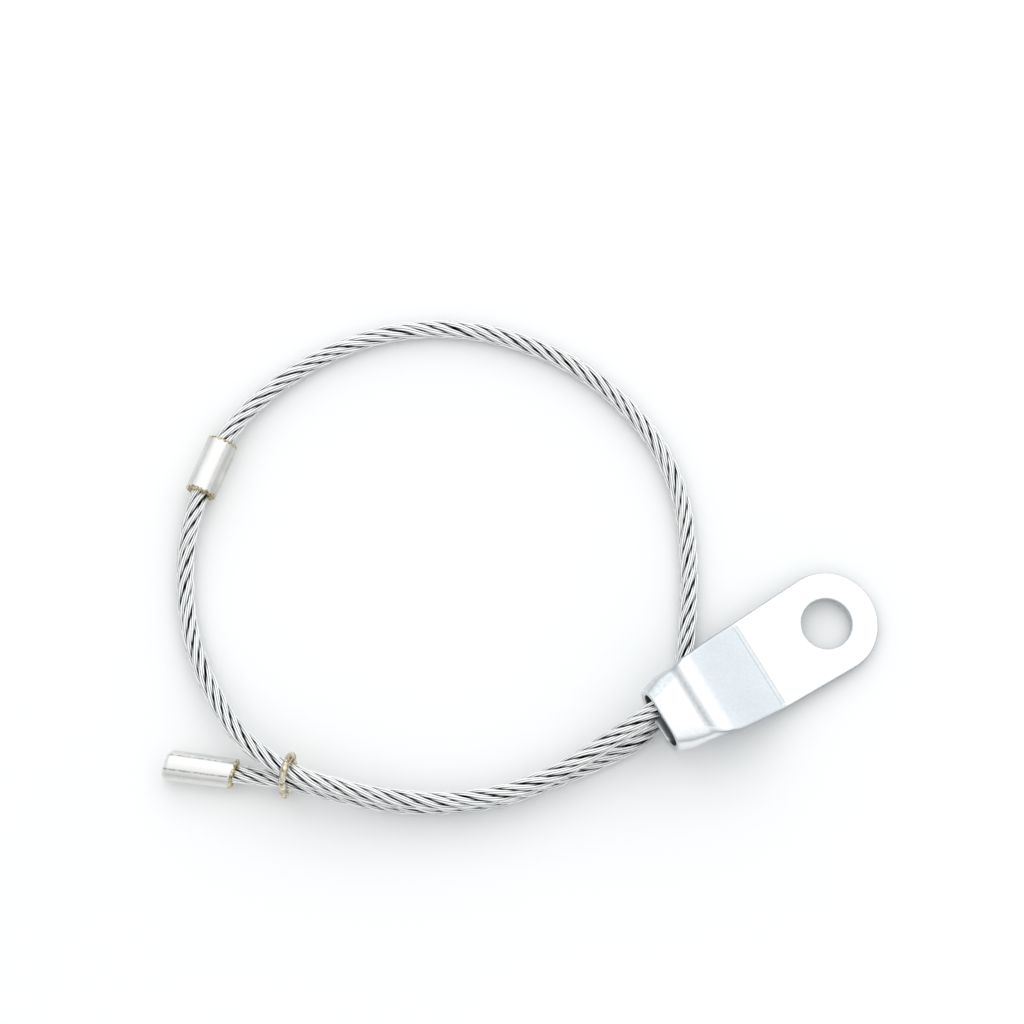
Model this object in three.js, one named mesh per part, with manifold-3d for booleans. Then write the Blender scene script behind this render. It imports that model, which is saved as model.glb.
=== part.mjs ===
// Window restrictor cable: one laid steel rope, coiled once and held by a wire ring. One end is gripped in a
// flattened tube eye fitting, the other ends in a blind ferrule, and a stop sleeve is pressed on in between.
// Millimetres, +Z up, standing on z = 0. The origin is under the middle of the hardware.
import * as THREE from "three";
import { mergeVertices } from "three/addons/utils/BufferGeometryUtils.js";
import Module from "manifold-3d";

// Rope
const ROPE_DIAMETER = 4.8;
const ROPE_SIDES = 10;
const ROPE_STEP = 11;
const ARC_LENGTH_DIVISIONS = 600;

// The rope's centreline: out of the eye fitting, once round the coil and back under itself to the ferrule.
const ROPE_ROUTE = [
  [43.9, -19.3, 10.1],
  [32.9, -26.2, 11.0],
  [21.3, -33.6, 8.9],
  [9.1, -41.1, 7.8],
  [-4.3, -46.4, 7.6],
  [-18.4, -48.6, 7.9],
  [-32.8, -48.0, 8.6],
  [-46.9, -45.4, 9.7],
  [-59.1, -41.2, 9.95],
  [-70.7, -32.2, 8.1],
  [-78.6, -19.6, 4.9],
  [-84.0, -5.8, 2.9],
  [-86.1, 8.0, 2.6],
  [-85.4, 21.8, 3.4],
  [-82.6, 32.6, 4.0],
  [-79.9, 39.2, 4.0],
  [-77.2, 45.8, 4.0],
  [-72.2, 53.3, 3.5],
  [-61.9, 63.2, 2.6],
  [-48.4, 71.4, 2.4],
  [-33.4, 76.3, 2.4],
  [-17.6, 77.2, 2.4],
  [-2.1, 74.2, 2.4],
  [12.4, 67.7, 2.4],
  [24.9, 58.0, 2.4],
  [34.7, 45.6, 2.4],
  [40.5, 30.9, 2.4],
  [42.3, 15.2, 2.4],
  [41.8, -1.5, 2.4],
  [40.3, -13.4, 2.4],
  [36.4, -23.6, 2.4],
  [29.3, -31.6, 2.4],
  [18.9, -37.3, 2.4],
  [6.5, -42.5, 2.4],
  [-6.6, -47.0, 2.4],
  [-20.3, -48.7, 2.6],
  [-32.9, -48.5, 3.3],
  [-45.3, -46.3, 4.5],
  [-58.0, -43.1, 4.95],
  [-72.3, -41.0, 4.0],
  [-86.5, -39.1, 4.0],
];

// Eye fitting: a steel tube pressed flat. Its own frame runs from the mouth (x = 0) to the tip, with its
// underside on z = 0.
const FITTING_MOUTH = [33.5, -28.8, 5.3];
const FITTING_HEADING = 31.7;
const FITTING_PITCH = 4.3;
const FITTING_ROLL = 4.5;
const TUBE_WALL = 1.5;
const EYE_X = 51;
const EYE_RADIUS = 6.5;
const TAB_HALF_WIDTH = 13.3;
const TAB_THICKNESS = 3;
const CORNER_STEPS = 7;
const SMALLEST_CORNER = 0.2;
// Cutting solids reach past what they cut by this much, and stand this tall
const CUT_MARGIN = 1;
const CUT_HEIGHT = 20;
const EYE_SEGMENTS = 64;
// Each station along the tube: distance from the mouth, half width, height and corner radius.
const TUBE_STATIONS = [
  [0, 8.5, 12.2, 5.6],
  [8.4, 9.2, 12.2, 5.2],
  [10.0, 9.5, 13.0, 4.8],
  [12.0, 9.8, 12.7, 4.4],
  [17.8, 10.9, 9.4, 3.4],
  [29.2, 12.6, 3.3, 1.55],
  [31.0, 12.7, TAB_THICKNESS, 1.45],
  [EYE_X, TAB_HALF_WIDTH, TAB_THICKNESS, 1.45],
  [EYE_X + TAB_HALF_WIDTH + CUT_MARGIN, TAB_HALF_WIDTH, TAB_THICKNESS, 1.45],
];
const THROAT_END = 27.5;

// Ferrules pressed on the rope
const FERRULE_RADIUS = 4;
const FERRULE_BORE_RADIUS = 3.1;
const FERRULE_CHAMFER = 0.6;
const FERRULE_SEGMENTS = 48;
const SLEEVE_CENTRE = [-79.9, 39.2, FERRULE_RADIUS];
const SLEEVE_HEADING = [5.4, 13.2, 0];
const SLEEVE_LENGTH = 15;
const END_FERRULE_MOUTH = [-72.3, -41.0, FERRULE_RADIUS];
const END_FERRULE_HEADING = [-17.6, 2.4, 0];
const END_FERRULE_LENGTH = 17.8;
const END_FERRULE_BORE_DEPTH = 15.2;
// Anchor ferrule inside the fitting's throat, in the fitting's own frame
const ANCHOR_RADIUS = 3.6;
const ANCHOR_FROM = 7;
const ANCHOR_LENGTH = 8.5;
const ROPE_IN_FITTING = { across: 3, height: 5.6 };

// Keeper ring round both legs of the rope, in a plane across them: x across the legs, y up
const RING_POSITION = [-58.1, -42.3, 0];
const RING_HEADING = -18.3;
const RING_LEAN = 6;
const RING_WIRE_RADIUS = 0.95;
const RING_BEND_RADIUS = 4.0;
const RING_LOWER_BEND = [-0.75, 4.97];
const RING_UPPER_BEND = [0.75, 9.9];
const RING_BEND_STEPS = 16;
const RING_WIRE_SIDES = 14;

const zincPlate = new THREE.MeshStandardMaterial({ color: 0xd3dadd, roughness: 0.38, metalness: 0.9 });
const galvanised = new THREE.MeshStandardMaterial({ color: 0xc4c8c8, roughness: 0.42, metalness: 0.9 });
const nickelPlate = new THREE.MeshStandardMaterial({ color: 0xd5d3ca, roughness: 0.32, metalness: 0.95 });
const ringWire = new THREE.MeshStandardMaterial({ color: 0xbfb59c, roughness: 0.36, metalness: 0.95 });

const wasm = await Module();
wasm.setup();

const radians = THREE.MathUtils.degToRad;

function toSolid(geometry) {
  const bare = geometry.clone();
  bare.deleteAttribute("normal");
  bare.deleteAttribute("uv");
  const merged = mergeVertices(bare, 1e-4);
  return new wasm.Manifold(
    new wasm.Mesh({
      numProp: 3,
      vertProperties: new Float32Array(merged.attributes.position.array),
      triVerts: new Uint32Array(merged.index.array),
    }),
  );
}

function toGeometry(solid) {
  const { vertProperties, triVerts } = solid.getMesh();
  const geometry = new THREE.BufferGeometry();
  geometry.setAttribute("position", new THREE.BufferAttribute(vertProperties, 3));
  geometry.setIndex(new THREE.BufferAttribute(triVerts, 1));
  return geometry;
}

// A closed skin over rings of points with equal counts. An open row of rings gets a flat cap at each end.
function skin(rings, joined = false) {
  const count = rings[0].length;
  const positions = rings.flat().flatMap((point) => [point.x, point.y, point.z]);
  const faces = [];
  const spans = joined ? rings.length : rings.length - 1;
  for (let i = 0; i < spans; i++) {
    const here = i * count;
    const next = ((i + 1) % rings.length) * count;
    for (let j = 0; j < count; j++) {
      const k = (j + 1) % count;
      faces.push(here + j, here + k, next + k, here + j, next + k, next + j);
    }
  }
  if (!joined) {
    const last = (rings.length - 1) * count;
    for (let j = 1; j < count - 1; j++) {
      faces.push(0, j + 1, j, last, last + j, last + j + 1);
    }
  }
  const geometry = new THREE.BufferGeometry();
  geometry.setAttribute("position", new THREE.Float32BufferAttribute(positions, 3));
  geometry.setIndex(faces);
  return geometry;
}

// A rounded rectangle across the tube at x, from z = base upwards.
function tubeSection(x, halfWidth, height, radius, base = 0) {
  const centres = [
    [halfWidth - radius, base + height - radius],
    [-halfWidth + radius, base + height - radius],
    [-halfWidth + radius, base + radius],
    [halfWidth - radius, base + radius],
  ];
  return centres.flatMap(([y, z], quarter) =>
    Array.from({ length: CORNER_STEPS + 1 }, (_, i) => {
      const angle = ((quarter + i / CORNER_STEPS) * Math.PI) / 2;
      return new THREE.Vector3(x, y + radius * Math.cos(angle), z + radius * Math.sin(angle));
    }),
  );
}

function stationAt(x) {
  const next = TUBE_STATIONS.findIndex((station) => station[0] >= x);
  const [a, b] = [TUBE_STATIONS[next - 1], TUBE_STATIONS[next]];
  return a.map((value, i) => value + ((b[i] - value) * (x - a[0])) / (b[0] - a[0]));
}

function cavitySection([x, halfWidth, height, corner]) {
  const innerCorner = Math.min(Math.max(corner - TUBE_WALL, SMALLEST_CORNER), height / 2 - TUBE_WALL);
  return tubeSection(x, halfWidth - TUBE_WALL, height - 2 * TUBE_WALL, innerCorner, TUBE_WALL);
}

// The plan of the fitting with its round end, taller than the tube.
function roundEndPlan() {
  const wide = 2 * TAB_HALF_WIDTH;
  const plan = new THREE.Shape();
  plan.moveTo(-CUT_MARGIN, -wide);
  plan.lineTo(EYE_X, -wide);
  plan.lineTo(EYE_X, -TAB_HALF_WIDTH);
  plan.absarc(EYE_X, 0, TAB_HALF_WIDTH, -Math.PI / 2, Math.PI / 2);
  plan.lineTo(EYE_X, wide);
  plan.lineTo(-CUT_MARGIN, wide);
  const options = { depth: CUT_HEIGHT, bevelEnabled: false, curveSegments: EYE_SEGMENTS };
  return new THREE.ExtrudeGeometry(plan, options);
}

function eyeFitting() {
  const outside = skin(TUBE_STATIONS.map((station) => tubeSection(...station)));
  const inner = TUBE_STATIONS.filter(([x]) => x < THROAT_END).map(cavitySection);
  const entry = cavitySection(TUBE_STATIONS[0]).map((point) => point.setX(-CUT_MARGIN));
  const cavity = skin([entry, ...inner, cavitySection(stationAt(THROAT_END))]);
  const eye = new THREE.CylinderGeometry(EYE_RADIUS, EYE_RADIUS, CUT_HEIGHT, EYE_SEGMENTS);
  eye.rotateX(Math.PI / 2);
  eye.translate(EYE_X, 0, TAB_THICKNESS / 2);
  const plan = roundEndPlan();
  plan.translate(0, 0, -CUT_MARGIN);
  const body = toSolid(outside).intersect(toSolid(plan));
  const mesh = new THREE.Mesh(toGeometry(body.subtract(toSolid(cavity)).subtract(toSolid(eye))), zincPlate);
  mesh.name = "eye_fitting";
  return mesh;
}

// A ferrule along +Y from y = 0. Without a bore depth the bore runs through.
function ferruleProfile(radius, length, boreDepth = length) {
  const c = FERRULE_CHAMFER;
  const bore = FERRULE_BORE_RADIUS;
  const outer = [
    [radius - c, length],
    [radius, length - c],
    [radius, c],
    [radius - c, 0],
    [bore, 0],
  ];
  const inner = boreDepth < length ? [[bore, boreDepth], [0, boreDepth]] : [[bore, length]];
  const start = boreDepth < length ? [0, length] : [bore, length];
  return [start, ...outer, ...inner].reverse().map(([x, y]) => new THREE.Vector2(x, y));
}

function ferrule(name, radius, length, boreDepth) {
  const geometry = new THREE.LatheGeometry(ferruleProfile(radius, length, boreDepth), FERRULE_SEGMENTS);
  const mesh = new THREE.Mesh(geometry, nickelPlate);
  mesh.name = name;
  return mesh;
}

function placeAlong(mesh, from, heading) {
  const direction = new THREE.Vector3(...heading).normalize();
  mesh.quaternion.setFromUnitVectors(new THREE.Vector3(0, 1, 0), direction);
  mesh.position.set(...from);
  return mesh;
}

function stopSleeve() {
  const mesh = ferrule("stop_sleeve", FERRULE_RADIUS, SLEEVE_LENGTH);
  mesh.geometry.translate(0, -SLEEVE_LENGTH / 2, 0);
  return placeAlong(mesh, SLEEVE_CENTRE, SLEEVE_HEADING);
}

function endFerrule() {
  const mesh = ferrule("end_ferrule", FERRULE_RADIUS, END_FERRULE_LENGTH, END_FERRULE_BORE_DEPTH);
  return placeAlong(mesh, END_FERRULE_MOUTH, END_FERRULE_HEADING);
}

function anchorFerrule() {
  const mesh = ferrule("anchor_ferrule", ANCHOR_RADIUS, ANCHOR_LENGTH);
  return placeAlong(mesh, [ANCHOR_FROM, ROPE_IN_FITTING.across, ROPE_IN_FITTING.height], [1, 0, 0]);
}

// The bent wire: two half circles round the legs, joined by straight sides.
function keeperRing() {
  const lower = new THREE.Vector2(...RING_LOWER_BEND);
  const upper = new THREE.Vector2(...RING_UPPER_BEND);
  const side = upper.clone().sub(lower).angle() - Math.PI / 2;
  const bend = (centre, from) =>
    Array.from({ length: RING_BEND_STEPS + 1 }, (_, i) => {
      const angle = from + (i / RING_BEND_STEPS) * Math.PI;
      return { centre, angle };
    });
  const rings = [...bend(upper, side), ...bend(lower, side + Math.PI)].map(({ centre, angle }) =>
    Array.from({ length: RING_WIRE_SIDES }, (_, j) => {
      const turn = (2 * Math.PI * j) / RING_WIRE_SIDES;
      const reach = RING_BEND_RADIUS + RING_WIRE_RADIUS * Math.cos(turn);
      return new THREE.Vector3(
        -RING_WIRE_RADIUS * Math.sin(turn),
        centre.x + reach * Math.cos(angle),
        centre.y + reach * Math.sin(angle),
      );
    }),
  );
  const mesh = new THREE.Mesh(skin(rings, true), ringWire);
  mesh.name = "keeper_ring";
  mesh.position.set(...RING_POSITION);
  mesh.rotation.set(0, -radians(RING_LEAN), radians(RING_HEADING), "ZYX");
  return mesh;
}

function wireRope() {
  const points = ROPE_ROUTE.map((point) => new THREE.Vector3(...point));
  const path = new THREE.CatmullRomCurve3(points);
  path.arcLengthDivisions = ARC_LENGTH_DIVISIONS;
  const section = new THREE.Shape(
    Array.from({ length: ROPE_SIDES }, (_, i) => {
      const angle = (2 * Math.PI * i) / ROPE_SIDES;
      return new THREE.Vector2(Math.cos(angle), Math.sin(angle)).multiplyScalar(ROPE_DIAMETER / 2);
    }),
  );
  const steps = Math.round(path.getLength() / ROPE_STEP);
  const geometry = new THREE.ExtrudeGeometry(section, { steps, extrudePath: path, bevelEnabled: false });
  const mesh = new THREE.Mesh(geometry, galvanised);
  mesh.name = "wire_rope";
  return mesh;
}

const fittingFrame = new THREE.Group();
fittingFrame.position.set(...FITTING_MOUTH);
fittingFrame.rotation.set(radians(FITTING_ROLL), radians(FITTING_PITCH), radians(FITTING_HEADING), "ZYX");
fittingFrame.add(eyeFitting(), anchorFerrule());

const cable = new THREE.Group();
cable.add(fittingFrame, wireRope(), stopSleeve(), endFerrule(), keeperRing());

export default cable;
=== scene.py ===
"""Window restrictor cable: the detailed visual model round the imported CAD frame, in metres, +Z up."""

import math

import bmesh
import bpy
import numpy as np
from mathutils import Euler, Matrix, Vector, noise


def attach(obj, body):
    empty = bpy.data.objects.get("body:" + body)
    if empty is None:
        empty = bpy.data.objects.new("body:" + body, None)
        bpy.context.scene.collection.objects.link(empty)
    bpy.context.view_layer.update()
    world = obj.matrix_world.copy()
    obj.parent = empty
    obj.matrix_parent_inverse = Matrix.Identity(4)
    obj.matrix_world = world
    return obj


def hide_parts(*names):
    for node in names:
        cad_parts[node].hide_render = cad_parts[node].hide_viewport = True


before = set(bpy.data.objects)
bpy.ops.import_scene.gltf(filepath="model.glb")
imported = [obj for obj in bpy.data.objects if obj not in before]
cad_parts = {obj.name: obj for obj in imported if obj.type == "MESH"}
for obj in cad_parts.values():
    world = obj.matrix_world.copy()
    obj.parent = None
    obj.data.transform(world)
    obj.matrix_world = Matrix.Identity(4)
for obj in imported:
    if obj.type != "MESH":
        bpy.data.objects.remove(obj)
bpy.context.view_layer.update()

MM = 0.001
TURN = 2 * math.pi

# ---------------------------------------------------------------- dimensions in millimetres, as in the CAD

ROPE_DIAMETER = 4.8
ROPE_ROUTE = [
    (43.9, -19.3, 10.1), (32.9, -26.2, 11.0), (21.3, -33.6, 8.9), (9.1, -41.1, 7.8),
    (-4.3, -46.4, 7.6), (-18.4, -48.6, 7.9), (-32.8, -48.0, 8.6), (-46.9, -45.4, 9.7),
    (-59.1, -41.2, 9.95), (-70.7, -32.2, 8.1), (-78.6, -19.6, 4.9), (-84.0, -5.8, 2.9),
    (-86.1, 8.0, 2.6), (-85.4, 21.8, 3.4), (-82.6, 32.6, 4.0), (-79.9, 39.2, 4.0),
    (-77.2, 45.8, 4.0), (-72.2, 53.3, 3.5), (-61.9, 63.2, 2.6), (-48.4, 71.4, 2.4),
    (-33.4, 76.3, 2.4), (-17.6, 77.2, 2.4), (-2.1, 74.2, 2.4), (12.4, 67.7, 2.4),
    (24.9, 58.0, 2.4), (34.7, 45.6, 2.4), (40.5, 30.9, 2.4), (42.3, 15.2, 2.4),
    (41.8, -1.5, 2.4), (40.3, -13.4, 2.4), (36.4, -23.6, 2.4), (29.3, -31.6, 2.4),
    (18.9, -37.3, 2.4), (6.5, -42.5, 2.4), (-6.6, -47.0, 2.4), (-20.3, -48.7, 2.6), (-32.9, -48.5, 3.3),
    (-45.3, -46.3, 4.5), (-58.0, -43.1, 4.95), (-72.3, -41.0, 4.0), (-86.5, -39.1, 4.0),
]

FITTING_MOUTH = (33.5, -28.8, 5.3)
FITTING_TURN = (4.5, 4.3, 31.7)
TUBE_WALL = 1.5
EYE_X = 51.0
EYE_RADIUS = 6.5
TAB_HALF_WIDTH = 13.3
TAB_THICKNESS = 3.0
TAB_START = 31.0
TAB_START_HALF_WIDTH = 12.7
TAB_START_FLAT = 11.2
TAB_START_SHIFT = -0.45
TAB_CORNER_POWER = 5.0
THROAT_END = 27.5

FERRULE_RADIUS = 4.0
SLEEVE_CENTRE = (-79.9, 39.2, 4.0)
SLEEVE_HEADING = (5.4, 13.2, 0.0)
SLEEVE_LENGTH = 15.0
END_FERRULE_MOUTH = (-72.3, -41.0, 4.0)
END_FERRULE_HEADING = (-17.6, 2.4, 0.0)
END_FERRULE_LENGTH = 17.8

RING_POSITION = (-58.1, -42.3, 0.0)
RING_TURN = (0.0, -6.0, -18.3)
RING_WIRE_RADIUS = 0.9
RING_BEND_RADIUS = 3.85
RING_LOWER_BEND = (-0.75, 4.97)
RING_UPPER_BEND = (0.75, 9.9)


# ---------------------------------------------------------------- camera, floor and light

def look_at(obj, target):
    aim = Vector(target) - obj.location
    obj.rotation_euler = aim.to_track_quat("-Z", "Y").to_euler()


CAMERA_TARGET = (-0.0028, 0.0286, 0.0)
CAMERA_ELEVATION = math.radians(74)
CAMERA_DISTANCE = 1.0
CAMERA_LENS = 136.8

camera_data = bpy.data.cameras.new("camera")
camera = bpy.data.objects.new("camera", camera_data)
bpy.context.scene.collection.objects.link(camera)
camera_data.lens = CAMERA_LENS
camera_data.sensor_width = 36.0
camera_data.clip_start = 0.01
camera.location = Vector(CAMERA_TARGET) + CAMERA_DISTANCE * Vector(
    (0.0, -math.cos(CAMERA_ELEVATION), math.sin(CAMERA_ELEVATION))
)
look_at(camera, CAMERA_TARGET)
bpy.context.scene.camera = camera
bpy.context.scene.view_settings.view_transform = "Standard"


KEY_LIGHT_PLACE = (0.05, 0.95, 0.95)
KEY_LIGHT_SIZE = 2.0
KEY_LIGHT_WATTS = 4.0

key_data = bpy.data.lights.new("key_light", "AREA")
key_data.shape = "SQUARE"
key_data.size = KEY_LIGHT_SIZE
key_data.energy = KEY_LIGHT_WATTS
key_light = bpy.data.objects.new("key_light", key_data)
key_light.location = KEY_LIGHT_PLACE
bpy.context.scene.collection.objects.link(key_light)
look_at(key_light, (0.0, 0.0, 0.0))


# ---------------------------------------------------------------- node helpers

class Nodes:
    """Builds a material's node tree in few words."""

    def __init__(self, tree):
        self.tree = tree

    def add(self, kind, **inputs):
        node = self.tree.nodes.new(kind)
        for key, value in inputs.items():
            self.put(node, key, value)
        return node

    def put(self, node, key, value):
        socket = node.inputs[int(key[1:]) if key[0] == "i" and key[1:].isdigit() else key.replace("_", " ")]
        if isinstance(value, bpy.types.NodeSocket):
            self.tree.links.new(value, socket)
        else:
            socket.default_value = value

    def noise(self, vector, scale, detail=3.0, rough=0.5):
        return self.add(
            "ShaderNodeTexNoise", Vector=vector, Scale=scale, Detail=detail, Roughness=rough
        ).outputs["Fac"]

    def ramp(self, fac, stops):
        node = self.add("ShaderNodeValToRGB", Fac=fac)
        elements = node.color_ramp.elements
        while len(elements) < len(stops):
            elements.new(0.5)
        for element, (position, colour) in zip(elements, stops):
            element.position = position
            element.color = (*colour, 1.0) if len(colour) == 3 else colour
        return node.outputs["Color"]

    def span(self, value, low, high, to_low, to_high, smooth=False):
        node = self.add("ShaderNodeMapRange")
        node.interpolation_type = "SMOOTHSTEP" if smooth else "LINEAR"
        for key, number in zip(("i1", "i2", "i3", "i4"), (low, high, to_low, to_high)):
            self.put(node, key, number)
        self.put(node, "i0", value)
        return node.outputs["Result"]

    def math(self, operation, a, b):
        node = self.add("ShaderNodeMath", i0=a, i1=b)
        node.operation = operation
        return node.outputs[0]

    def mix(self, fac, a, b, blend="MIX"):
        node = self.tree.nodes.new("ShaderNodeMix")
        node.data_type = "RGBA"
        node.blend_type = blend
        for key, value in (("i0", fac), ("i6", a), ("i7", b)):
            self.put(node, key, value)
        return node.outputs[2]


def new_material(name, metallic):
    material = bpy.data.materials.new(name)
    material.use_nodes = True
    nodes = Nodes(material.node_tree)
    shader = material.node_tree.nodes["Principled BSDF"]
    shader.inputs["Metallic"].default_value = metallic
    where = nodes.add("ShaderNodeTexCoord").outputs["Object"]
    return material, nodes, shader, where


def grain_bump(nodes, shader, height, distance, strength=1.0):
    bump = nodes.add("ShaderNodeBump", Height=height, Distance=distance, Strength=strength)
    nodes.put(shader, "Normal", bump.outputs["Normal"])


def attribute(nodes, name):
    node = nodes.tree.nodes.new("ShaderNodeAttribute")
    node.attribute_name = name
    return node.outputs["Fac"]


def floor_material():
    material, nodes, shader, where = new_material("floor", 0.0)
    tint = nodes.noise(where, 3.0)
    nodes.put(shader, "Base_Color", nodes.ramp(tint, [(0.3, (0.93, 0.93, 0.93)), (0.7, (0.95, 0.95, 0.95))]))
    shader.inputs["Roughness"].default_value = 0.9
    shader.inputs["Specular IOR Level"].default_value = 0.1
    return material


def zinc_material():
    """Bright zinc plate: satin, faintly blue, fine-grained, with cloudy patches."""
    material, nodes, shader, where = new_material("zinc_plate", 1.0)
    cloud = nodes.noise(where, 90.0, 4.0, 0.6)
    grain = nodes.noise(where, 1500.0, 1.0, 0.5)
    colour = nodes.ramp(cloud, [(0.3, (0.87, 0.89, 0.905)), (0.7, (0.92, 0.93, 0.94))])
    colour = nodes.mix(nodes.span(grain, 0.35, 0.7, 0.0, 0.22), colour, (0.62, 0.66, 0.68, 1.0))
    # Painted shade: this mask darkens the creases, the step, the flanks, the tab's edges, the lip, the
    # inside and the eye's wall
    painted_shade_mask = nodes.math("MULTIPLY", attribute(nodes, "painted_shade_mask"), nodes.span(grain, 0.3, 0.7, 0.8, 1.0))
    colour = nodes.mix(painted_shade_mask, colour, (0.40, 0.44, 0.46, 1.0))
    nodes.put(shader, "Base_Color", colour)
    nodes.put(shader, "Roughness", nodes.span(nodes.math("ADD", cloud, grain), 0.7, 1.3, 0.27, 0.38))
    grain_bump(nodes, shader, nodes.noise(where, 700.0, 0.0), 0.00001, 0.3)
    return material


def rope_material():
    """Galvanised wire: light grey, with painted shade between the strands and the wires and over the core.
    """
    material, nodes, shader, where = new_material("galvanised_wire", 1.0)
    speck = nodes.noise(where, 900.0, 2.0, 0.6)
    wire = attribute(nodes, "wire_tone")
    groove = attribute(nodes, "groove")
    colour = nodes.ramp(wire, [(0.0, (0.92, 0.925, 0.92)), (1.0, (1.0, 1.0, 0.995))])
    colour = nodes.mix(nodes.span(speck, 0.5, 0.8, 0.0, 0.15), colour, (0.6, 0.62, 0.62, 1.0))
    # Painted shade: the groove attribute darkens the strands' hidden sides, the valleys between wires and
    # the core
    colour = nodes.mix(groove, colour, (0.012, 0.016, 0.016, 1.0))
    nodes.put(shader, "Base_Color", colour)
    nodes.put(shader, "Roughness", nodes.span(speck, 0.3, 0.7, 0.26, 0.40))
    grain_bump(nodes, shader, speck, 0.00001, 0.2)
    return material


def nickel_material():
    """Satin nickel plate, faintly streaked. The cut rims are worn through to brass, with a ragged edge."""
    material, nodes, shader, where = new_material("nickel_plate", 1.0)
    cloud = nodes.noise(where, 160.0, 3.0, 0.6)
    speck = nodes.noise(where, 1300.0, 2.0, 0.65)
    colour = nodes.ramp(cloud, [(0.3, (0.84, 0.835, 0.81)), (0.7, (0.90, 0.895, 0.875))])
    # The streak attribute carries random streaks and bands of painted shade along the ferrules
    streak_and_shade = nodes.math("MULTIPLY", attribute(nodes, "streak_and_shade"), nodes.span(cloud, 0.35, 0.65, 0.4, 1.0))
    colour = nodes.mix(streak_and_shade, colour, (0.38, 0.375, 0.33, 1.0))
    # The scratch attribute darkens the scratches and one line of painted shade on the blind ferrule
    scratch_and_shade = nodes.math("MULTIPLY", attribute(nodes, "scratch_and_shade"), nodes.span(speck, 0.4, 0.6, 0.35, 1.0))
    colour = nodes.mix(scratch_and_shade, colour, (0.16, 0.15, 0.13, 1.0))
    ragged = nodes.span(nodes.noise(where, 900.0, 3.0, 0.7), 0.35, 0.65, -0.3, 0.3)
    rim = nodes.span(nodes.math("ADD", attribute(nodes, "rim"), ragged), 0.45, 0.65, 0.0, 1.0, True)
    brass = nodes.ramp(
        speck,
        [(0.35, (0.20, 0.14, 0.06)), (0.52, (0.60, 0.51, 0.33)), (0.68, (0.90, 0.85, 0.70))],
    )
    nodes.put(shader, "Base_Color", nodes.mix(rim, colour, brass))
    nodes.put(shader, "Roughness", nodes.span(nodes.math("ADD", speck, cloud), 0.7, 1.3, 0.40, 0.52))
    grain_bump(nodes, shader, nodes.math("SUBTRACT", speck, scratch_and_shade), 0.00002, 0.25)
    return material


def ring_material():
    """Nickel-plated brass wire, worn to its warm base metal in patches."""
    material, nodes, shader, where = new_material("ring_wire", 1.0)
    patch = nodes.noise(where, 620.0, 3.0, 0.7)
    speck = nodes.noise(where, 1800.0, 2.0, 0.6)
    colour = nodes.ramp(
        patch,
        [
            (0.38, (0.24, 0.19, 0.10)),
            (0.47, (0.62, 0.54, 0.38)),
            (0.56, (0.86, 0.81, 0.69)),
            (0.66, (0.97, 0.95, 0.89)),
        ],
    )
    nodes.put(shader, "Base_Color", colour)
    nodes.put(shader, "Roughness", nodes.span(speck, 0.3, 0.7, 0.26, 0.42))
    grain_bump(nodes, shader, patch, 0.00006, 0.4)
    return material


BACK_HEADING = (0.20, 0.98, 0.0)
BACKDROP_COLOUR = (0.93, 0.94, 0.95, 1.0)


def studio_world():
    """A soft white tent, brightest overhead and to the back, and darker low at the front.

    The camera itself sees a plain pale backdrop instead.
    """
    world = bpy.data.worlds.new("studio")
    bpy.context.scene.world = world
    world.use_nodes = True
    nodes = Nodes(world.node_tree)
    where = nodes.add("ShaderNodeTexCoord").outputs["Generated"]
    split = nodes.add("ShaderNodeSeparateXYZ", Vector=where)
    flat = nodes.add("ShaderNodeVectorMath", i0=where, i1=(1.0, 1.0, 0.0))
    flat.operation = "MULTIPLY"
    heading = nodes.add("ShaderNodeVectorMath", i0=flat.outputs["Vector"])
    heading.operation = "NORMALIZE"
    toward = nodes.add("ShaderNodeVectorMath", i0=heading.outputs["Vector"], i1=BACK_HEADING)
    toward.operation = "DOT_PRODUCT"
    back = nodes.span(toward.outputs["Value"], -0.15, 0.7, 0.0, 1.0, True)
    front_side = nodes.ramp(
        split.outputs["Z"],
        [
            (0.0, (0.16, 0.17, 0.18)),
            (0.22, (0.56, 0.58, 0.59)),
            (0.50, (0.80, 0.83, 0.85)),
            (0.74, (1.06, 1.07, 1.08)),
            (0.88, (1.09, 1.09, 1.09)),
        ],
    )
    back_side = nodes.ramp(
        split.outputs["Z"],
        [
            (0.0, (0.34, 0.37, 0.40)),
            (0.16, (0.93, 1.00, 1.04)),
            (0.45, (1.01, 1.07, 1.10)),
            (0.86, (1.09, 1.09, 1.09)),
        ],
    )
    colour = nodes.mix(back, front_side, back_side)
    lit = world.node_tree.nodes["Background"]
    nodes.put(lit, "Color", colour)
    seen = nodes.add("ShaderNodeBackground", Color=BACKDROP_COLOUR)
    direct = nodes.add("ShaderNodeLightPath").outputs["Is Camera Ray"]
    both = nodes.add("ShaderNodeMixShader", i0=direct, i1=lit.outputs[0], i2=seen.outputs[0])
    nodes.put(world.node_tree.nodes["World Output"], "Surface", both.outputs[0])


studio_world()
FLOOR_HALF = 3.0
FLOOR_DROP = 0.00005
floor_mesh = bpy.data.meshes.new("floor")
floor_mesh.from_pydata(
    [(x * FLOOR_HALF, y * FLOOR_HALF, -FLOOR_DROP) for x, y in ((-1, -1), (1, -1), (1, 1), (-1, 1))],
    [],
    [(0, 1, 2, 3)],
)
floor = bpy.data.objects.new("floor", floor_mesh)
bpy.context.scene.collection.objects.link(floor)
floor_mesh.materials.append(floor_material())

ZINC = zinc_material()
ROPE = rope_material()
NICKEL = nickel_material()
RING = ring_material()


# ---------------------------------------------------------------- mesh helpers

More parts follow.
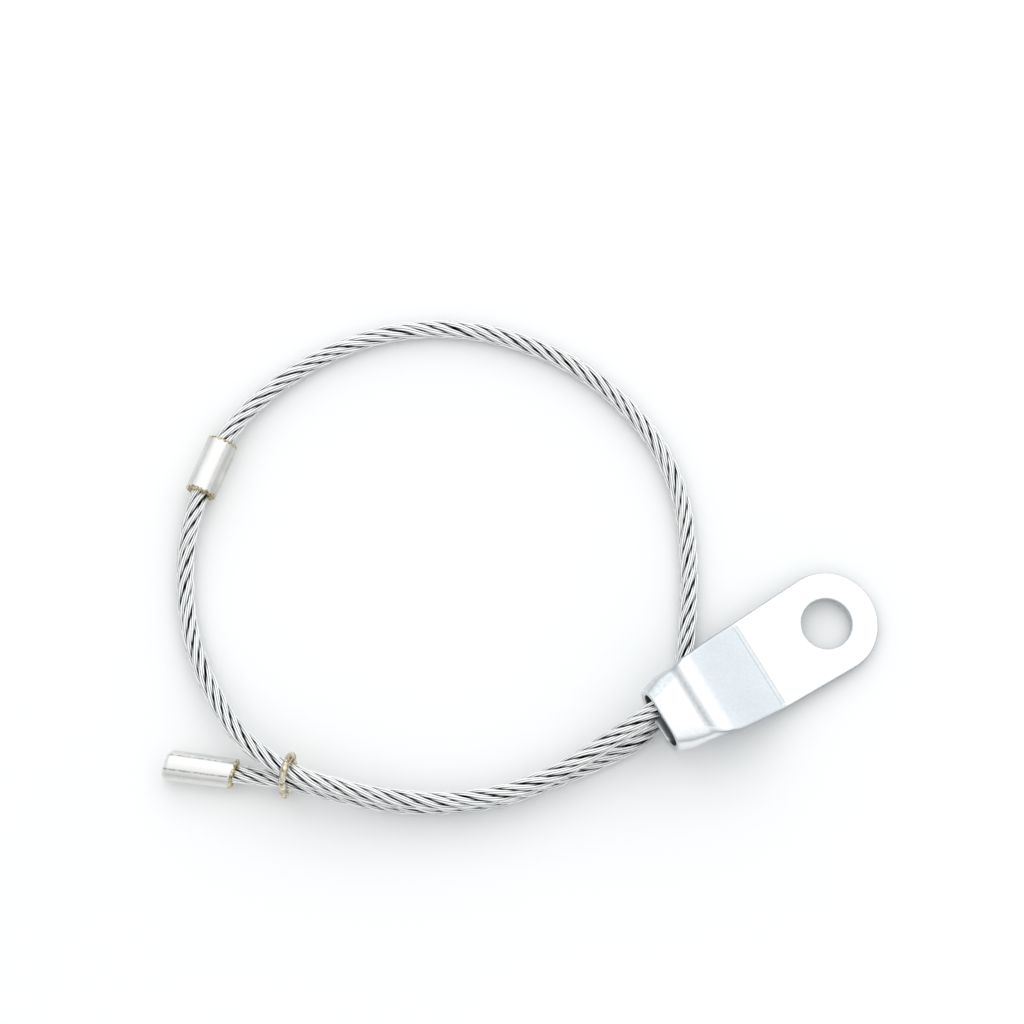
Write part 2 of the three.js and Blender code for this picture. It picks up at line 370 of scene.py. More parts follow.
def finish_piece(name, vertices, faces, material, attributes=None, sharp=None):
    """A smooth-shaded object of those faces, with one float attribute per name and vertex."""
    mesh = bpy.data.meshes.new(name)
    mesh.from_pydata([tuple(v) for v in vertices], [], faces)
    for key, values in (attributes or {}).items():
        layer = mesh.attributes.new(key, "FLOAT", "POINT")
        layer.data.foreach_set("value", np.asarray(values, np.float32))
    mesh.polygons.foreach_set("use_smooth", [True] * len(mesh.polygons))
    mesh.update()
    if sharp is not None:
        mesh.set_sharp_from_angle(angle=math.radians(sharp))
    mesh.materials.append(material)
    obj = bpy.data.objects.new(name, mesh)
    bpy.context.scene.collection.objects.link(obj)
    return obj


def loop_faces(first, second, joined=True):
    """Quads between two rows of vertex indices."""
    count = len(first)
    spans = count if joined else count - 1
    return [
        (first[j], first[(j + 1) % count], second[(j + 1) % count], second[j])
        for j in range(spans)
    ]


def smooth_table(table, x):
    """Values between a table's rows, each row (x, value, ...), without overshoot."""
    xs = np.array([row[0] for row in table], float)
    ys = np.array([row[1:] for row in table], float)
    i = int(np.clip(np.searchsorted(xs, x) - 1, 0, len(xs) - 2))
    steps = np.diff(xs)[:, None]
    slopes = np.diff(ys, axis=0) / steps
    tangents = np.zeros_like(ys)
    tangents[0], tangents[-1] = slopes[0], slopes[-1]
    for k in range(1, len(xs) - 1):
        same = slopes[k - 1] * slopes[k] > 0
        mean = np.zeros_like(slopes[k])
        mean[same] = 2 * slopes[k - 1][same] * slopes[k][same] / (slopes[k - 1][same] + slopes[k][same])
        tangents[k] = mean
    h = xs[i + 1] - xs[i]
    t = (x - xs[i]) / h
    return (
        (1 + 2 * t) * (1 - t) ** 2 * ys[i]
        + t * (1 - t) ** 2 * h * tangents[i]
        + t * t * (3 - 2 * t) * ys[i + 1]
        + t * t * (t - 1) * h * tangents[i + 1]
    )


# ---------------------------------------------------------------- the rope

LAY_LENGTH = 30.0
WIRE_LAY_LENGTH = 19.0
STRANDS = 6
WIRES = 6
STRAND_RADIUS = 0.985 * ROPE_DIAMETER / 6
WIRE_RADIUS = STRAND_RADIUS / 3
RING_SPACING = 0.9
WIRE_ANGLES = (-30.0, -17.0, 0.0, 17.0)
VALLEY_RADIUS = 0.43
VALLEY_SHADE = 0.95
CORE_RADIUS = 0.7
CORE_SIDES = 10
CORE_STEP = 2
STRAND_WANDER = 0.10
WIRE_WANDER = 0.5
WANDER_WAVELENGTHS = (17.0, 29.0, 47.0)
# Wires nearer to the rope's centre than this are in shade, fully so this much further in
SHADE_FROM = 2.02
SHADE_DEPTH = 0.28
ROPE_SEED = 11


def rope_line(points, spacing):
    """The centripetal Catmull-Rom curve through the points, at even spacing."""
    p = [np.array(q, float) for q in points]
    p = [2 * p[0] - p[1], *p, 2 * p[-1] - p[-2]]
    line = []
    for i in range(1, len(p) - 2):
        x0, x1, x2, x3 = p[i - 1 : i + 3]
        d0, d1, d2 = (np.linalg.norm(b - a) ** 0.5 for a, b in ((x0, x1), (x1, x2), (x2, x3)))
        t1 = ((x1 - x0) / d0 - (x2 - x0) / (d0 + d1) + (x2 - x1) / d1) * d1
        t2 = ((x2 - x1) / d1 - (x3 - x1) / (d1 + d2) + (x3 - x2) / d2) * d1
        for t in np.linspace(0, 1, 60, endpoint=False):
            line.append(
                (2 * t**3 - 3 * t**2 + 1) * x1
                + (t**3 - 2 * t**2 + t) * t1
                + (3 * t**2 - 2 * t**3) * x2
                + (t**3 - t**2) * t2
            )
    line.append(p[-2])
    line = np.array(line)
    along = np.concatenate([[0], np.cumsum(np.linalg.norm(np.diff(line, axis=0), axis=1))])
    at = np.linspace(0, along[-1], int(round(along[-1] / spacing)) + 1)
    return np.stack([np.interp(at, along, line[:, k]) for k in range(3)], axis=1), at


def carried_frames(line):
    """Tangents, and two side directions carried along the line without twist."""
    tangents = np.gradient(line, axis=0)
    tangents /= np.linalg.norm(tangents, axis=1)[:, None]
    side = np.cross(tangents[0], (0.0, 0.0, 1.0))
    sides = []
    for tangent in tangents:
        side = side - tangent * (side @ tangent)
        side = side / np.linalg.norm(side)
        sides.append(side)
    sides = np.array(sides)
    return tangents, sides, np.cross(tangents, sides)


def wander(random, at, size):
    """A slow, smooth, random drift along the rope."""
    drift = np.zeros_like(at)
    for wavelength in WANDER_WAVELENGTHS:
        drift += np.sin(TURN * (at / wavelength + random.random()))
    return size * drift / len(WANDER_WAVELENGTHS)


class Tubes:
    """Closed tubes gathered into one mesh, with a groove shade and a wire tone at each point."""

    def __init__(self):
        self.vertices, self.faces, self.grooves, self.tones = [], [], [], []

    def add(self, points, groove, tone):
        base = sum(len(block) for block in self.vertices)
        rows = base + np.arange(points.shape[0] * points.shape[1]).reshape(points.shape[:2])
        a, b = rows[:-1], rows[1:]
        quads = np.stack([a, np.roll(a, -1, 1), np.roll(b, -1, 1), b], axis=-1).reshape(-1, 4)
        self.faces.extend(quads.tolist())
        self.faces.append(rows[0][::-1].tolist())
        self.faces.append(rows[-1].tolist())
        self.vertices.append(points.reshape(-1, 3))
        self.grooves.append(groove.reshape(-1))
        self.tones.append(tone.reshape(-1))


def strand_profile():
    """Angles and radii round a strand, and which of its points lie in a valley between two wires."""
    turns = np.radians(WIRE_ANGLES)
    wire_reach = STRAND_RADIUS - WIRE_RADIUS
    profile = wire_reach * np.cos(turns) + np.sqrt(
        np.maximum(WIRE_RADIUS**2 - (wire_reach * np.sin(turns)) ** 2, 0)
    )
    profile[0] = VALLEY_RADIUS
    angles = np.concatenate([turns + TURN * wire / WIRES for wire in range(WIRES)])
    valley = np.tile([1.0] + [0.0] * (len(WIRE_ANGLES) - 1), WIRES)
    return angles, np.tile(profile, WIRES), valley


def add_strand(tubes, strand, line, at, random, tones):
    """One strand of wires laid round the line, with a tone for each wire."""
    tangents, sides, ups = carried_frames(line)
    strand_reach = ROPE_DIAMETER / 2 - STRAND_RADIUS
    theta = TURN * (strand / STRANDS + at / LAY_LENGTH) + wander(random, at, STRAND_WANDER)
    out = np.cos(theta)[:, None] * sides + np.sin(theta)[:, None] * ups
    around_axis = -np.sin(theta)[:, None] * sides + np.cos(theta)[:, None] * ups
    along = tangents + (TURN * strand_reach / LAY_LENGTH) * around_axis
    along /= np.linalg.norm(along, axis=1)[:, None]
    across = np.cross(along, out)

    angles, radii, valley = strand_profile()
    twist = strand - TURN * at / WIRE_LAY_LENGTH + wander(random, at, WIRE_WANDER)
    phi = angles[None, :] + twist[:, None]
    outward = radii * np.cos(phi)
    sideways = radii * np.sin(phi)
    centre = line + strand_reach * out
    points = centre[:, None] + outward[..., None] * out[:, None] + sideways[..., None] * across[:, None]

    buried = np.clip((SHADE_FROM - np.hypot(strand_reach + outward, sideways)) / SHADE_DEPTH, 0, 1)
    groove = np.maximum(buried, VALLEY_SHADE * valley[None, :])
    tubes.add(points, groove, np.broadcast_to(np.repeat(tones, len(WIRE_ANGLES)), groove.shape))


def add_core(tubes, line):
    """The core that closes the gaps between the strands, painted fully in shade."""
    _, sides, ups = carried_frames(line)
    spokes = TURN * np.arange(CORE_SIDES) / CORE_SIDES
    points = line[:, None] + CORE_RADIUS * (
        np.cos(spokes)[None, :, None] * sides[:, None] + np.sin(spokes)[None, :, None] * ups[:, None]
    )
    points = points[::CORE_STEP]
    tubes.add(points, np.ones(points.shape[:2]), np.zeros(points.shape[:2]))


def wire_rope():
    """Six strands laid right-handed round a core, each of six wires laid the other way."""
    line, at = rope_line(ROPE_ROUTE, RING_SPACING)
    random = np.random.default_rng(ROPE_SEED)
    tones = random.random((STRANDS, WIRES))
    tubes = Tubes()
    for strand in range(STRANDS):
        add_strand(tubes, strand, line, at, random, tones[strand])
    add_core(tubes, line)
    layers = {"groove": np.concatenate(tubes.grooves), "wire_tone": np.concatenate(tubes.tones)}
    rope = finish_piece("rope_strands", np.concatenate(tubes.vertices) * MM, tubes.faces, ROPE, layers)
    length = float(np.linalg.norm(np.diff(line, axis=0), axis=1).sum()) * MM
    return rope, (line * MM).tolist(), length


rope, rope_path, rope_length = wire_rope()


# ---------------------------------------------------------------- the eye fitting

# x from the mouth: half width, half width of the flat top, height, height of the widest point,
# half width of the flat underside, how square the shoulders are (2 is round), how far it sits to the left
BODY_TABLE = [
    (0.0, 8.6, 4.5, 11.5, 6.4, 4.6, 2.2, -0.1),
    (2.2, 9.5, 4.9, 11.75, 6.8, 4.5, 2.2, -0.15),
    (4.4, 10.1, 5.6, 11.85, 7.4, 4.4, 2.2, -0.2),
    (7.6, 10.35, 6.8, 11.9, 8.7, 4.4, 2.2, -0.4),
    (10.3, 10.75, 8.5, 12.95, 10.8, 4.75, 2.2, -0.65),
    (11.8, 11.1, 9.8, 12.95, 11.7, 5.1, 2.2, -0.8),
    (13.4, 11.35, 10.3, 12.6, 11.4, 5.6, 2.3, -0.95),
    (15.4, 11.7, 10.7, 11.6, 10.4, 6.3, 2.4, -1.1),
    (18.4, 12.0, 11.0, 9.9, 8.7, 7.5, 2.6, -0.95),
    (26.0, 12.5, 11.3, 5.45, 4.2, 9.7, 3.2, -0.6),
    (29.8, 12.7, 11.3, 3.4, 2.0, 11.1, 4.0, -0.5),
    (30.7, TAB_START_HALF_WIDTH, TAB_START_FLAT, 3.0, 1.5, 11.2, TAB_CORNER_POWER, TAB_START_SHIFT),
    (TAB_START, TAB_START_HALF_WIDTH, TAB_START_FLAT, 3.0, 1.5, 11.2, TAB_CORNER_POWER, TAB_START_SHIFT),
]
# Pressed creases across the bend into the tab: distance from the mouth and depth
CREASES = [(29.7, 0.12), (30.75, 0.08)]
CREASE_HALF_WIDTH = 0.2
# Painted shade in the creases, this dark at their middle
CREASE_PAINTED_SHADE = 0.75
# Painted shade over the left flank near the mouth
LEFT_FLANK_PAINTED_SHADE = 0.5
# Painted shade on the flanks and the tab's edges below their top corners
EDGE_PAINTED_SHADE = 0.95
# The edge is painted in shade from this row of its corner outwards
SHADED_FROM_ROW = 4
# The step behind the mouth, painted in shade: its middle, how far the painted shade reaches, and how dark it
# is
STEP_X = 8.9
STEP_REACH = 1.4
STEP_PAINTED_SHADE = 0.75
# Painted shade on the eye's wall
EYE_WALL_PAINTED_SHADE = 0.65
# Painted shade on the lip's lower part
LOWER_LIP_PAINTED_SHADE = 0.8
HALF_THICKNESS = TAB_THICKNESS / 2
# Rows of the tab's top face inside its edge: distance in, and how far the pressed face falls there
TOP_ROWS = [(0.0, 0.16), (0.7, 0.085), (1.6, 0.035), (2.8, 0.008), (4.2, 0.0)]
QUARTER = 12
MIDDLE_STEPS = 10
OUTLINE_SIDE_STEPS = 24
OUTLINE_ARC_STEPS = 88
CUT_EDGE_RADIUS = 0.3
FOLD_END_ANGLE = 30.0
EYE_STEPS = 96
# The mouth's rounded lip: how far each row is inset, and its distance from the mouth's plane
LIP_ROWS = [(0.3, 0.0), (0.12, 0.06), (0.03, 0.2)]
LIP_DEPTH = 0.42
# Its rows inside: distance from the mouth's plane, how much less than the wall they are inset, and painted
# shade
INNER_LIP_ROWS = [(0.0, 0.35, 0.45), (0.14, 0.1, 0.4)]
# Painted shade on the lip's upper part, and the height below which the lip gets the heavier painted shade
UPPER_LIP_PAINTED_SHADE = 0.25
LIP_SHADED_BELOW = 5.0
# Sections along the outside of the tube: from, to, and how many
SECTION_RUNS = [(LIP_DEPTH, 6.4, 14), (6.4, 12.0, 30), (12.0, 29.2, 36), (29.2, TAB_START, 25)]
INNER_SECTIONS = 40
# Painted shade inside the tube
INNER_PAINTED_SHADE = 0.5
# The wall is never thicker than this share of the tube's height
WALL_SHARE = 0.49
FLAT_INSET_SHARE = 0.55
WAIST_MARGIN = 0.2
EDGE_FALL_FROM = 28.0
# Painted shade on the flanks changes over this distance past the step
PAST_STEP = 3.0
# The open seam between the tab's two pressed layers, where its end is cut
SEAM_DEPTH = 0.14
SEAM_HALF_WIDTH = 0.14


def top_fractions():
    """Places across the flat top as shares of its half width, from left to right."""
    inset = [1 - distance / TAB_START_FLAT for distance, _ in TOP_ROWS]
    middle = np.linspace(inset[-1], -inset[-1], MIDDLE_STEPS + 1)[1:-1]
    return inset + list(middle) + [-f for f in reversed(inset)]


def crease_share(x, place):
    """How far the section at x is in the crease at that place."""
    return max(0.0, 1 - abs(x - place) / CREASE_HALF_WIDTH)


def body_painted_shade(x):
    """How much painted shade the section at x gets: in the creases, the step and down the flanks."""
    crease = CREASE_PAINTED_SHADE * max(crease_share(x, place) for place, _ in CREASES)
    crease = max(crease, STEP_PAINTED_SHADE * (1 - abs(x - STEP_X) / STEP_REACH))
    past_mouth = float(np.clip((x - STEP_X) / PAST_STEP, 0, 1))
    right = [EDGE_PAINTED_SHADE * past_mouth * (k >= SHADED_FROM_ROW) for k in range(2 * QUARTER)]
    left = [painted_shade + LEFT_FLANK_PAINTED_SHADE * (1 - past_mouth) for painted_shade in right[-2::-1]]
    return [crease] * len(top_fractions()) + right + [0.0] * MIDDLE_STEPS + left


def body_section(x, inset=0.0):
    """Points round the tube at x: flat top from left to right, right side, underside, left side."""
    half, flat, height, waist, foot, power, shift = smooth_table(BODY_TABLE, x)
    height -= sum(depth * crease_share(x, place) for place, depth in CREASES)
    half -= inset
    flat -= inset * FLAT_INSET_SHARE
    foot -= inset * FLAT_INSET_SHARE
    bottom, top = inset, height - inset
    waist = min(max(waist, bottom + WAIST_MARGIN), top - WAIST_MARGIN)
    fall = np.clip((x - EDGE_FALL_FROM) / (TAB_START - EDGE_FALL_FROM), 0, 1) if inset == 0.0 else 0.0
    drops = [fall * drop for _, drop in TOP_ROWS]
    drops = drops + [0.0] * (MIDDLE_STEPS - 1) + drops[::-1]
    upper = [
        (
            flat + (half - flat) * max(0.0, math.cos(a)) ** (2 / power),
            waist + (top - waist) * math.sin(a) ** (2 / power),
        )
        for a in (math.pi / 2 * (1 - k / QUARTER) for k in range(QUARTER + 1))
    ]
    lower = [
        (foot + (half - foot) * math.cos(a), waist - (waist - bottom) * math.sin(a))
        for a in (math.pi / 2 * k / QUARTER for k in range(1, QUARTER + 1))
    ]
    side = [(y, z - (drops[0] if k == 0 else 0)) for k, (y, z) in enumerate(upper + lower)]
    points = [(flat * f, top - drop) for f, drop in zip(top_fractions(), drops)]
    points += [(-y, z) for y, z in side[1:]]
    points += [(y, bottom) for y in np.linspace(-foot, foot, MIDDLE_STEPS + 1)[1:]]
    points += side[1:-1][::-1]
    return [(x, y + shift, z) for y, z in points]


def edge_profiles():
    """The tab's edge from top to bottom, as (outwards, up): where it is folded, and where it is cut."""
    h = HALF_THICKNESS
    square = 2 / TAB_CORNER_POWER
    fold = [
        (-h + h * max(0.0, math.cos(a)) ** square, h + h * math.sin(a) ** square)
        for a in (math.pi / 2 * (1 - k / QUARTER) for k in range(QUARTER + 1))
    ]
    fold += [
        (-h + h * math.cos(a), h - h * math.sin(a))
        for a in (math.pi / 2 * k / QUARTER for k in range(1, QUARTER + 1))
    ]
    r = CUT_EDGE_RADIUS
    top = 2 * HALF_THICKNESS
    upper = [(-h, top), (-0.9, top), (-0.55, top)]
    upper += [
        (-r + r * math.sin(a), top - r + r * math.cos(a)) for a in (math.pi / 2 * k / 5 for k in range(6))
    ]
    upper += [(0.0, top - 0.7), (0.0, h + SEAM_HALF_WIDTH), (-0.04, h + 0.06)]
    middle = [(-SEAM_DEPTH, h)]
    cut = upper + middle + [(o, top - z) for o, z in reversed(upper)]
    return fold, cut


def tab_outline():
    """Stations round the tab from its left side to its right: place, way out, and how far it is cut."""
    def side(sign):
        start = sign * TAB_START_HALF_WIDTH + TAB_START_SHIFT
        places = []
        for k in range(OUTLINE_SIDE_STEPS):
            t = k / OUTLINE_SIDE_STEPS
            y = start + (sign * TAB_HALF_WIDTH - start) * t
            places.append(((TAB_START + (EYE_X - TAB_START) * t, y), (0.0, float(sign)), 0.0))
        return places

    stations = side(1)
    for k in range(OUTLINE_ARC_STEPS + 1):
        angle = math.pi / 2 - math.pi * k / OUTLINE_ARC_STEPS
        out = (math.cos(angle), math.sin(angle))
        turned = math.degrees(min(math.pi / 2 - angle, math.pi / 2 + angle))
        cut = float(np.clip(turned / FOLD_END_ANGLE, 0, 1))
        cut = cut * cut * (3 - 2 * cut)
        place = (EYE_X + TAB_HALF_WIDTH * out[0], TAB_HALF_WIDTH * out[1])
        stations.append((place, out, cut))
    return stations + side(-1)[::-1]


class Shell:
    """Vertices, faces and painted shade gathered for one piece."""

    def __init__(self):
        self.vertices, self.faces, self.painted_shade = [], [], []

    def add(self, points, painted_shade):
        """Add the points and give back their indices. The painted shade is one value, or one for each point.
        """
        first = len(self.vertices)
        self.vertices.extend(points)
        self.painted_shade.extend([painted_shade] * len(points) if np.isscalar(painted_shade) else list(painted_shade))
        return list(range(first, first + len(points)))

    def join(self, rows, joined=True):
        for a, b in zip(rows, rows[1:]):
            self.faces += loop_faces(a, b, joined)


def add_tube(shell):
    """The tube's lip, outside, inside and the wall at its throat's end. Gives back its last outer row."""
    rows = []
    for inset, x in LIP_ROWS:
        lip = [(x, y, z) for _, y, z in body_section(LIP_DEPTH, inset)]
        rows.append(shell.add(lip, [LOWER_LIP_PAINTED_SHADE if z < LIP_SHADED_BELOW else UPPER_LIP_PAINTED_SHADE for _, _, z in lip]))
    for x in np.unique(np.concatenate([np.linspace(*run) for run in SECTION_RUNS])):
        rows.append(shell.add(body_section(x), body_painted_shade(x)))
    shell.join(rows)

    inner = []
    for x, less, painted_shade in INNER_LIP_ROWS:
        lip = [(x, y, z) for _, y, z in body_section(LIP_DEPTH, TUBE_WALL - less)]
        inner.append(shell.add(lip, painted_shade))
    for x in np.linspace(LIP_DEPTH, THROAT_END, INNER_SECTIONS):
        wall = min(TUBE_WALL, WALL_SHARE * smooth_table(BODY_TABLE, x)[2])
        inner.append(shell.add(body_section(x, wall), INNER_PAINTED_SHADE))
    shell.join(inner[::-1])
    shell.faces += loop_faces(inner[0], rows[0])
    shell.faces.append(tuple(inner[-1]))
    return rows[-1]


def add_tab(shell, last):
    """The tab's edge, and rows of its top face, from the tube's last row.

    Gives back the outlines of the flat faces that are still open, the top's and the underside's.
    """
    n_top = len(top_fractions())
    n_rows = len(TOP_ROWS)
    right_side = last[n_top - 1 : n_top + 2 * QUARTER]
    left_side = [last[0]] + last[: n_top + 2 * QUARTER + MIDDLE_STEPS - 1 : -1]
    fold, cut = edge_profiles()
    fall_at_edge = TOP_ROWS[0][1]
    edge_rows, top_rows = [left_side], [last[:n_rows]]
    for (px, py), (ox, oy), share in tab_outline()[1:-1]:
        points = []
        for f, c in zip(fold, cut):
            out = f[0] * (1 - share) + c[0] * share
            z = f[1] * (1 - share) + c[1] * share
            fall = fall_at_edge * max(0.0, (z - HALF_THICKNESS) / HALF_THICKNESS) ** 2
            points.append((px + ox * out, py + oy * out, z - fall))
        edge_rows.append(shell.add(points, [EDGE_PAINTED_SHADE * (k > SHADED_FROM_ROW) for k in range(len(points))]))
        inside = [edge_rows[-1][0]]
        for distance, fall in TOP_ROWS[1:]:
            out = -HALF_THICKNESS - distance
            inside += shell.add([(px + ox * out, py + oy * out, TAB_THICKNESS - fall)], 0.0)
        top_rows.append(inside)
    edge_rows.append(right_side)
    top_rows.append([last[n_top - 1 - k] for k in range(n_rows)])
    shell.join(edge_rows, joined=False)
    shell.join(top_rows[::-1], joined=False)
    top_outline = last[n_rows - 1 : n_top - n_rows + 1] + [row[-1] for row in top_rows[-2:0:-1]]
    foot = last[n_top + 2 * QUARTER - 1 : n_top + 2 * QUARTER + MIDDLE_STEPS]
    return top_outline, foot[::-1] + [row[-1] for row in edge_rows[-2:0:-1]]


def add_eye(shell):
    """The eye, punched through both layers. Gives back its top and bottom rings."""
    r, t, h = EYE_RADIUS, TAB_THICKNESS, HALF_THICKNESS
    wall = [
        (r + 0.4, t), (r + 0.2, t - 0.02), (r + 0.07, t - 0.07), (r + 0.01, t - 0.16), (r, t - 0.3),
        (r, h + 0.12), (r + 0.03, h + 0.05), (r + 0.12, h), (r + 0.03, h - 0.05), (r, h - 0.12),
        (r, 0.3), (r + 0.1, 0.08), (r + 0.3, 0.0),
    ]
    spokes = [TURN * j / EYE_STEPS for j in range(EYE_STEPS)]
    rings = []
    for radius, z in wall:
        ring = [(EYE_X + radius * math.cos(a), radius * math.sin(a), z) for a in spokes]
        rings.append(shell.add(ring, EYE_WALL_PAINTED_SHADE if rings else 0.0))
    shell.join(rings)
    return rings[0], rings[-1]


def fill_between(mesh, outer, hole, up):
    """Fill the flat face between an outline and the hole in it."""
    edges = []
    for loop in (outer, hole):
        for a, b in zip(loop, loop[1:] + loop[:1]):
            pair = (mesh.verts[a], mesh.verts[b])
            edges.append(mesh.edges.get(pair) or mesh.edges.new(pair))
    bmesh.ops.triangle_fill(mesh, edges=edges, use_beauty=True, use_dissolve=False, normal=(0, 0, up))


def eye_fitting():
    """The tube pressed flat into a tab with an eye."""
    shell = Shell()
    last = add_tube(shell)
    top_outline, under_outline = add_tab(shell, last)
    top_ring, under_ring = add_eye(shell)

    mesh = bmesh.new()
    for point in shell.vertices:
        mesh.verts.new(point)
    mesh.verts.ensure_lookup_table()
    for face in shell.faces:
        mesh.faces.new([mesh.verts[i] for i in face])
    fill_between(mesh, top_outline, top_ring, 1)
    fill_between(mesh, under_outline, under_ring, -1)
    bmesh.ops.recalc_face_normals(mesh, faces=mesh.faces)
    turn = Euler([math.radians(a) for a in FITTING_TURN], "XYZ").to_matrix().to_4x4()
    place = Matrix.Translation(Vector(FITTING_MOUTH) * MM) @ turn @ Matrix.Scale(MM, 4)
    bmesh.ops.transform(mesh, matrix=place, verts=mesh.verts)
    points = [v.co.copy() for v in mesh.verts]
    polygons = [[v.index for v in f.verts] for f in mesh.faces]
    mesh.free()

    fitting = finish_piece("fitting", points, polygons, ZINC, {"painted_shade_mask": shell.painted_shade}, sharp=40.0)
    weighted = fitting.modifiers.new("weighted_normal", "WEIGHTED_NORMAL")
    weighted.keep_sharp = True
    weighted.weight = 90
    return fitting


fitting = eye_fitting()


# ---------------------------------------------------------------- ferrules

FERRULE_STEPS = 96
BARREL_FROM = 3.2
DENTS = 0.05
DENT_SCALE = 2.0
DENT_STRETCH = 0.35
STREAKS = 0.14
STREAK_STEPS = 3
SCRATCH_DEPTH = 0.09
# Scratched lines, and bands of painted shade, along a ferrule: angle in degrees, half width and strength
# The line at 57 degrees is a line of painted shade along the top, cut in like the scratches
END_LINES = [(117.0, 4.5, 1.0), (57.0, 5.0, 0.95), (140.0, 4.0, 0.3)]
END_SHADES = [(35.0, 35.0, 0.18), (150.0, 35.0, 0.12)]
END_SLANT = -0.17
END_TAPER = 0.06
END_CORNER = 1.5
END_CORNER_STEPS = 10
END_DOME = 0.02
SLEEVE_LINES = [(62.0, 4.0, 0.35), (128.0, 4.0, 0.3)]
SLEEVE_SHADES = [(2.0, 66.0, 1.0), (165.0, 60.0, 0.5)]
# The sawn end of a ferrule, from the barrel in to the bore: radius, distance from the end, and how worn
CUT_RIM = [
    (4.0, 1.2, 0.0), (4.0, 0.8, 0.45), (3.98, 0.4, 0.9), (3.88, 0.1, 1.0), (3.7, 0.0, 1.0),
    (3.2, 0.03, 1.0), (2.75, 0.08, 1.0), (2.6, 0.25, 1.0), (2.55, 1.2, 0.6),
]
BARREL_MARGIN = 1.5


def along(heading):
    """The turn that takes +Y to the heading."""
    return Vector((0.0, 1.0, 0.0)).rotation_difference(Vector(heading).normalized())


def line_share(angle, lines):
    """How far the surface at this angle round a ferrule is in one of its lengthwise lines."""
    share = 0.0
    for place, width, strength in lines:
        share = max(share, strength * max(0.0, 1 - abs(angle - place) / width))
    return share


def revolve(name, profile, start, heading, length, lines, shades, slant=0.0, taper=0.0):
    """A ferrule along heading, from rows of (radius, distance, rim), lying on the floor.

    Slant shears its ends, and taper makes it thinner towards its start.
    """
    random = np.random.default_rng(len(profile))
    tones = random.random(FERRULE_STEPS // STREAK_STEPS)
    vertices, rims, scratches_and_shade, streaks_and_shade = [], [], [], []
    turn = along(heading)
    for radius, distance, rim in profile:
        for j in range(FERRULE_STEPS):
            degrees = 360.0 * j / FERRULE_STEPS
            x = math.cos(math.radians(degrees))
            z = math.sin(math.radians(degrees))
            spot = Vector((x * DENT_SCALE, distance * DENT_STRETCH, z * DENT_SCALE))
            scratch_and_shade = line_share(degrees, lines)
            reach = radius * (1 - taper * (1 - distance / length))
            if radius > BARREL_FROM:
                reach += DENTS * noise.noise(spot) - SCRATCH_DEPTH * scratch_and_shade
            place = turn @ Vector((reach * x, distance + slant * x * reach, reach * z)) + Vector(start)
            place.z = max(place.z, 0.0)
            vertices.append(place * MM)
            rims.append(rim)
            scratches_and_shade.append(scratch_and_shade if radius > BARREL_FROM and rim < 0.5 else 0.0)
            streaks_and_shade.append(min(1.0, STREAKS * tones[j // STREAK_STEPS] + line_share(degrees, shades)))
    rows = [list(range(i * FERRULE_STEPS, (i + 1) * FERRULE_STEPS)) for i in range(len(profile))]
    faces = [face for a, b in zip(rows, rows[1:]) for face in loop_faces(a, b)]
    for row, order in ((rows[0], 1), (rows[-1], -1)):
        faces.append(tuple(row[::order]))
    layers = {"rim": rims, "scratch_and_shade": scratches_and_shade, "streak_and_shade": streaks_and_shade}
    return finish_piece(name, vertices, faces, NICKEL, layers, sharp=45.0)


def barrel(end, count):
    """Rows along a ferrule's barrel, from past its cut end to that distance."""
    return [(FERRULE_RADIUS, d, 0.0) for d in np.linspace(BARREL_MARGIN, end, count)]


def sleeve_profile():
    """Open and sawn at both ends."""
    far_rim = [(radius, SLEEVE_LENGTH - distance, rim) for radius, distance, rim in CUT_RIM]
    return CUT_RIM[::-1] + barrel(SLEEVE_LENGTH - BARREL_MARGIN, 12) + far_rim


def end_profile():
    """Sawn at its mouth, closed and rounded at its other end."""
    rows = CUT_RIM[::-1] + barrel(END_FERRULE_LENGTH - END_CORNER - 0.2, 14)
    for k in range(1, END_CORNER_STEPS + 1):
        a = math.pi / 2 * k / END_CORNER_STEPS
        radius = FERRULE_RADIUS - END_CORNER + END_CORNER * math.cos(a)
        rows.append((radius, END_FERRULE_LENGTH - END_CORNER + END_CORNER * math.sin(a), 0.0))
    rows += [(r, END_FERRULE_LENGTH + END_DOME * (FERRULE_RADIUS - r), 0.0) for r in (1.9, 1.2, 0.3)]
    return rows


sleeve_start = Vector(SLEEVE_CENTRE) - Vector(SLEEVE_HEADING).normalized() * (SLEEVE_LENGTH / 2)
sleeve = revolve(
    "sleeve", sleeve_profile(), sleeve_start, SLEEVE_HEADING, SLEEVE_LENGTH, SLEEVE_LINES, SLEEVE_SHADES
)
end_cap = revolve(
    "blind_ferrule", end_profile(), END_FERRULE_MOUTH, END_FERRULE_HEADING, END_FERRULE_LENGTH,
    END_LINES, END_SHADES, slant=END_SLANT, taper=END_TAPER,
)


# ---------------------------------------------------------------- keeper ring

RING_ARC_STEPS = 40
RING_SIDE_STEPS = 12
RING_SIDES = 24
RING_WOBBLE = 0.05
RING_WOBBLE_SCALE = 1.3


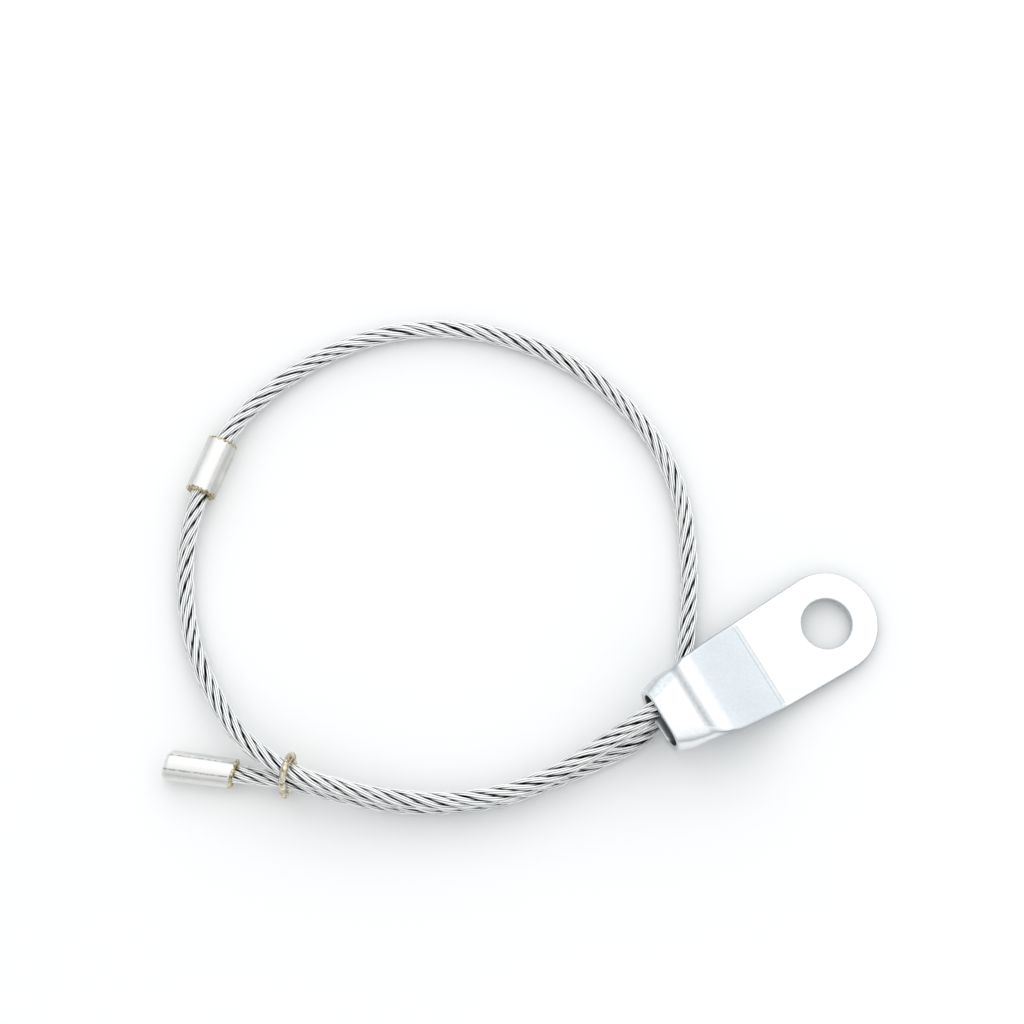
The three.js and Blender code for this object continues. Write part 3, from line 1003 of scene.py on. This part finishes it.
def keeper_ring():
    """A long loop of slightly uneven wire: two half-round bends joined by straight sides."""
    lower, upper = np.array(RING_LOWER_BEND), np.array(RING_UPPER_BEND)
    side = math.atan2(*(upper - lower)[::-1]) - math.pi / 2
    path = []
    for centre, start in ((upper, side), (lower, side + math.pi)):
        for k in range(RING_ARC_STEPS + 1):
            path.append((centre, start + math.pi * k / RING_ARC_STEPS))
        other = lower if centre is upper else upper
        for k in range(1, RING_SIDE_STEPS):
            share = k / RING_SIDE_STEPS
            path.append((centre * (1 - share) + other * share, start + math.pi))
    turn = Euler([math.radians(a) for a in RING_TURN], "XYZ").to_matrix()
    vertices = []
    for centre, angle in path:
        for j in range(RING_SIDES):
            around = TURN * j / RING_SIDES
            seed = Vector((math.cos(angle) * 4, math.sin(angle) * 4 + centre[1] * 0.6, math.cos(around)))
            radius = RING_WIRE_RADIUS * (1 + RING_WOBBLE * noise.noise(seed * RING_WOBBLE_SCALE))
            reach = RING_BEND_RADIUS + radius * math.cos(around)
            local = Vector((
                -radius * math.sin(around),
                centre[0] + reach * math.cos(angle),
                centre[1] + reach * math.sin(angle),
            ))
            vertices.append((turn @ local + Vector(RING_POSITION)) * MM)
    rows = [list(range(i * RING_SIDES, (i + 1) * RING_SIDES)) for i in range(len(path))]
    faces = [face for a, b in zip(rows, rows[1:] + rows[:1]) for face in loop_faces(a, b)]
    return finish_piece("wire_ring", vertices, faces, RING)


ring = keeper_ring()


# ---------------------------------------------------------------- riding on the CAD bodies

for piece, body, slot_name, node in (
    (rope, "cable", "galvanised_rope", "wire_rope"),
    (fitting, "cable", "zinc_plated_steel", "eye_fitting"),
    (sleeve, "cable", "nickel_plated_ferrule", "stop_sleeve"),
    (end_cap, "cable", "nickel_plated_ferrule", "end_ferrule"),
    (ring, "ring", "ring_wire", "keeper_ring"),
):
    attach(piece, body)
    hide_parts(node)

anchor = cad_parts["anchor_ferrule"]
for slot_index in range(len(anchor.material_slots)):
    anchor.material_slots[slot_index].material = NICKEL
